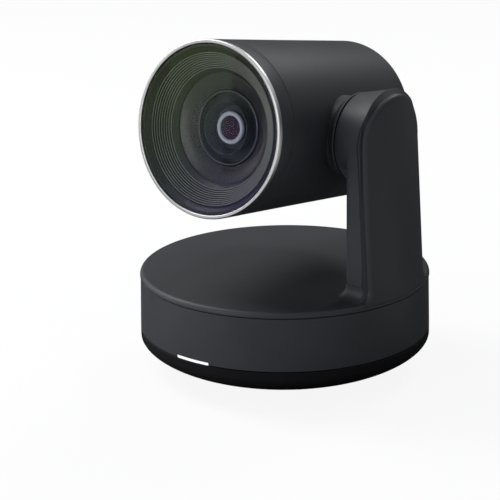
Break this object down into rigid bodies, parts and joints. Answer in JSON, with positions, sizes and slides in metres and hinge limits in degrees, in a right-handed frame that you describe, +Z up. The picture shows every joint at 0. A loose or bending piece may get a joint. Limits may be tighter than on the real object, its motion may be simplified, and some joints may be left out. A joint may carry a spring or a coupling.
{
  "type": "ptz camera",
  "caption": "Desktop pan and tilt camera: round base, rotating disc with one side arm, and a barrel head with stepped lens shade behind a flat window and bright trim ring.",
  "frame": {"origin": "centre of the foot ring on the table, on the pan axis", "axes": "+Z up along the pan axis; the lens looks along -Y; the arm stands on +X"},
  "size_m": [0.152, 0.152, 0.1814],
  "materials": {
    "charcoal": "fine moulded texture",
    "black": "smooth black moulding",
    "satin_black": "satin black",
    "rubber": "matt rubber",
    "silver": "polished trim ring",
    "steel": "brushed steel",
    "aluminium": "cast aluminium",
    "brass": "machined brass",
    "clear_glass": "coated flat window",
    "lens_glass": "coated lens glass",
    "board": "glass-fibre board with green mask",
    "nylon": "natural acetal",
    "lamp": "diffusing light pipe"
  },
  "bodies": {
    "base": {"foot_ring": "rubber", "bottom_shell": "black", "tripod_insert": "brass", "base_screw_1": "steel", "base_screw_2": "steel", "base_screw_3": "steel", "base_screw_4": "steel", "base_shell": "charcoal", "status_light": "lamp", "status_light_board": "board", "connector_panel": "black", "power_jack": "black", "usb_c_receptacle": "steel", "hdmi_receptacle": "steel", "pairing_switch": "steel", "lock_slot_plate": "steel", "port_board": "board", "main_board": "board", "processor_heat_sink": "aluminium", "pan_deck": "aluminium", "pan_bush": "nylon", "pan_motor": "steel"},
    "pan_pinion": {"pan_pinion": "brass"},
    "pairing_button": {"pairing_button": "black"},
    "turntable": {"turntable_cover": "charcoal", "arm_inner_cover": "charcoal", "turntable_frame": "steel", "pan_spindle": "steel", "spindle_clip": "steel", "pan_gear": "nylon", "tilt_bush": "nylon", "tilt_motor": "steel"},
    "tilt_pinion": {"tilt_pinion": "brass"},
    "head": {"head_shell": "charcoal", "rear_cap": "charcoal", "front_collar": "charcoal", "bezel_ring": "silver", "front_window": "clear_glass", "lens_baffle": "black", "lens_cone": "satin_black", "lens_retaining_ring": "black", "front_lens": "lens_glass", "lens_spacer": "black", "second_lens": "lens_glass", "iris_plate": "satin_black", "lens_barrel": "black", "lens_chassis": "aluminium", "guide_rod_upper": "steel", "guide_rod_lower": "steel", "infrared_filter": "lens_glass", "sensor_mount": "aluminium", "sensor_board": "board", "head_board": "board", "tilt_shaft": "steel", "tilt_gear": "nylon", "shaft_clip": "steel"},
    "zoom_carriage": {"zoom_carriage": "black", "zoom_lens": "lens_glass"},
    "focus_carriage": {"focus_carriage": "black", "focus_lens": "lens_glass"}
  },
  "joints": [
    {"name": "pan", "type": "hinge", "parent": "base", "child": "turntable", "pos_m": [0, 0, 0.0492], "axis": [0, 0, 1], "range_deg": [-90, 90]},
    {"name": "pan_pinion_spin", "type": "hinge", "parent": "base", "child": "pan_pinion", "pos_m": [0, -0.03125, 0.043], "axis": [0, 0, 1], "range_deg": [-361, 361]},
    {"name": "tilt", "type": "hinge", "parent": "turntable", "child": "head", "pos_m": [0, 0, 0.1288], "axis": [1, 0, 0], "range_deg": [-41.5, 98.5]},
    {"name": "tilt_pinion_spin", "type": "hinge", "parent": "turntable", "child": "tilt_pinion", "pos_m": [0.0584, 0, 0.1063], "axis": [1, 0, 0], "range_deg": [-257, 109]},
    {"name": "zoom", "type": "slide", "parent": "head", "child": "zoom_carriage", "axis": [0, 0.989, -0.1478], "range_m": [-0.004, 0.008]},
    {"name": "focus", "type": "slide", "parent": "head", "child": "focus_carriage", "axis": [0, 0.989, -0.1478], "range_m": [-0.004, 0.006]},
    {"name": "pairing_press", "type": "slide", "parent": "base", "child": "pairing_button", "axis": [0, -1, 0], "range_m": [0, 0.0007], "stiffness_N_per_m": 1500}
  ],
  "couplings": [
    {"joint": "pan_pinion_spin", "follows": "pan", "ratio": -4},
    {"joint": "tilt_pinion_spin", "follows": "tilt", "ratio": -2.6}
  ]
}
